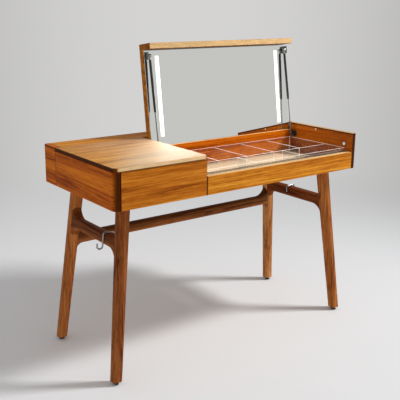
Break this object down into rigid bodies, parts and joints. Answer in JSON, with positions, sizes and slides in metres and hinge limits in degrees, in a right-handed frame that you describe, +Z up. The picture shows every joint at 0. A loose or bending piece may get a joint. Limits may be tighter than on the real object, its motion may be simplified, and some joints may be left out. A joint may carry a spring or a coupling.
{
  "type": "vanity table",
  "caption": "Wooden vanity table on splayed legs, with a side drawer, a clear organiser tray and a lift-up lid that carries a mirror and lit strips on gas struts.",
  "frame": {"origin": "on the floor, under the middle of the case", "axes": "+Z up, -Y towards the person who sits at the table, +X to that person's right"},
  "size_m": [1.14, 0.514, 1.1457],
  "materials": {
    "teak_case": "oiled, satin",
    "teak_lid": "oiled, satin",
    "teak_base": "oiled, satin",
    "inner_board": "matt lacquer",
    "mirror": "silvered glass",
    "light_channel": "satin",
    "light_diffuser": "lit, milky",
    "black_plastic": "matt",
    "clear_acrylic": "clear, polished",
    "clear_bumper": "clear, soft",
    "white_plastic": "gloss",
    "zinc_steel": "zinc plated",
    "bush_nylon": "natural",
    "black_metal": "satin black",
    "chrome": "polished"
  },
  "bodies": {
    "case": {"back_panel": "teak_case", "back_rail": "teak_base", "bottom_panel": "inner_board", "cable_grommet": "black_plastic", "compartment_back_panel": "teak_case", "divider_panel": "teak_case", "foot_glides": "black_plastic", "front_apron": "teak_case", "led_driver": "black_plastic", "left_side_panel": "teak_case", "left_top_panel": "teak_case", "leg_back_left": "teak_base", "leg_back_right": "teak_base", "leg_bolts": "zinc_steel", "leg_front_left": "teak_base", "leg_front_right": "teak_base", "lid_bumpers": "clear_bumper", "light_button_bezel": "black_plastic", "pivot_plates": "zinc_steel", "right_end_panel": "teak_case", "runner_outer_left": "zinc_steel", "runner_outer_right": "zinc_steel", "side_rail_left": "teak_base", "side_rail_right": "teak_base", "spine_end_left": "teak_case", "spine_end_right": "teak_case", "spine_front_board": "inner_board", "spine_top_board": "teak_case", "strut_wall_mounts": "black_metal", "tray_base": "clear_acrylic", "tray_dividers": "clear_acrylic", "tray_rim": "clear_acrylic"},
    "lid": {"lid_panel": "teak_lid", "lid_front_band": "teak_lid", "mirror_glass": "mirror", "led_profile_left": "light_channel", "led_profile_right": "light_channel", "led_diffuser_left": "light_diffuser", "led_diffuser_right": "light_diffuser", "pivot_bushes": "bush_nylon", "strut_lid_brackets": "zinc_steel"},
    "strut_rod_left": {"strut_rod_left": "chrome"},
    "strut_rod_right": {"strut_rod_right": "chrome"},
    "strut_tube_left": {"strut_tube_left": "black_metal"},
    "strut_tube_right": {"strut_tube_right": "black_metal"},
    "drawer": {"drawer_front": "teak_case", "drawer_side_left": "inner_board", "drawer_side_right": "inner_board", "drawer_back": "inner_board", "drawer_bottom": "inner_board", "runner_inner_left": "zinc_steel", "runner_inner_right": "zinc_steel"},
    "runner_middles": {"runner_middle_left": "zinc_steel", "runner_middle_right": "zinc_steel"},
    "light_button": {"light_button": "white_plastic"},
    "hook_left": {"hook_left": "chrome"},
    "hook_right": {"hook_right": "chrome"}
  },
  "joints": [
    {"name": "lid_hinge", "type": "hinge", "parent": "case", "child": "lid", "pos_m": [0, 0.117, 0.767], "axis": [1, 0, 0], "range_deg": [0, 98]},
    {"name": "drawer_slide", "type": "slide", "parent": "case", "child": "drawer", "axis": [0, -1, 0], "range_m": [0, 0.3]},
    {"name": "runner_slide", "type": "slide", "parent": "case", "child": "runner_middles", "axis": [0, -1, 0], "range_m": [0, 0.151]},
    {"name": "light_button_press", "type": "slide", "parent": "case", "child": "light_button", "axis": [1, 0, 0], "range_m": [0, 0.0015], "stiffness_N_per_m": 400},
    {"name": "hook_left_slide", "type": "slide", "parent": "case", "child": "hook_left", "axis": [0, 1, 0], "range_m": [-0.014, 0.189]},
    {"name": "hook_right_slide", "type": "slide", "parent": "case", "child": "hook_right", "axis": [0, 1, 0], "range_m": [-0.127, 0.073]},
    {"name": "strut_left_pivot", "type": "hinge", "parent": "case", "child": "strut_rod_left", "pos_m": [-0.175, 0.071, 0.735], "axis": [1, 0, 0], "range_deg": [0, 99.3]},
    {"name": "strut_left_stroke", "type": "slide", "parent": "strut_rod_left", "child": "strut_tube_left", "axis": [0, 0.1745, 0.9847], "range_m": [-0.0845, 0]},
    {"name": "strut_right_pivot", "type": "hinge", "parent": "case", "child": "strut_rod_right", "pos_m": [0.528, 0.071, 0.735], "axis": [1, 0, 0], "range_deg": [0, 99.3]},
    {"name": "strut_right_stroke", "type": "slide", "parent": "strut_rod_right", "child": "strut_tube_right", "axis": [0, 0.1745, 0.9847], "range_m": [-0.0845, 0]}
  ],
  "couplings": [
    {"joint": "runner_slide", "follows": "drawer_slide", "ratio": 0.5},
    {"joint": "strut_left_pivot", "follows": "lid_hinge", "ratio": 1.0126},
    {"joint": "strut_left_stroke", "follows": "lid_hinge", "m_per_rad": -0.049284},
    {"joint": "strut_right_pivot", "follows": "lid_hinge", "ratio": 1.0126},
    {"joint": "strut_right_stroke", "follows": "lid_hinge", "m_per_rad": -0.049284}
  ]
}
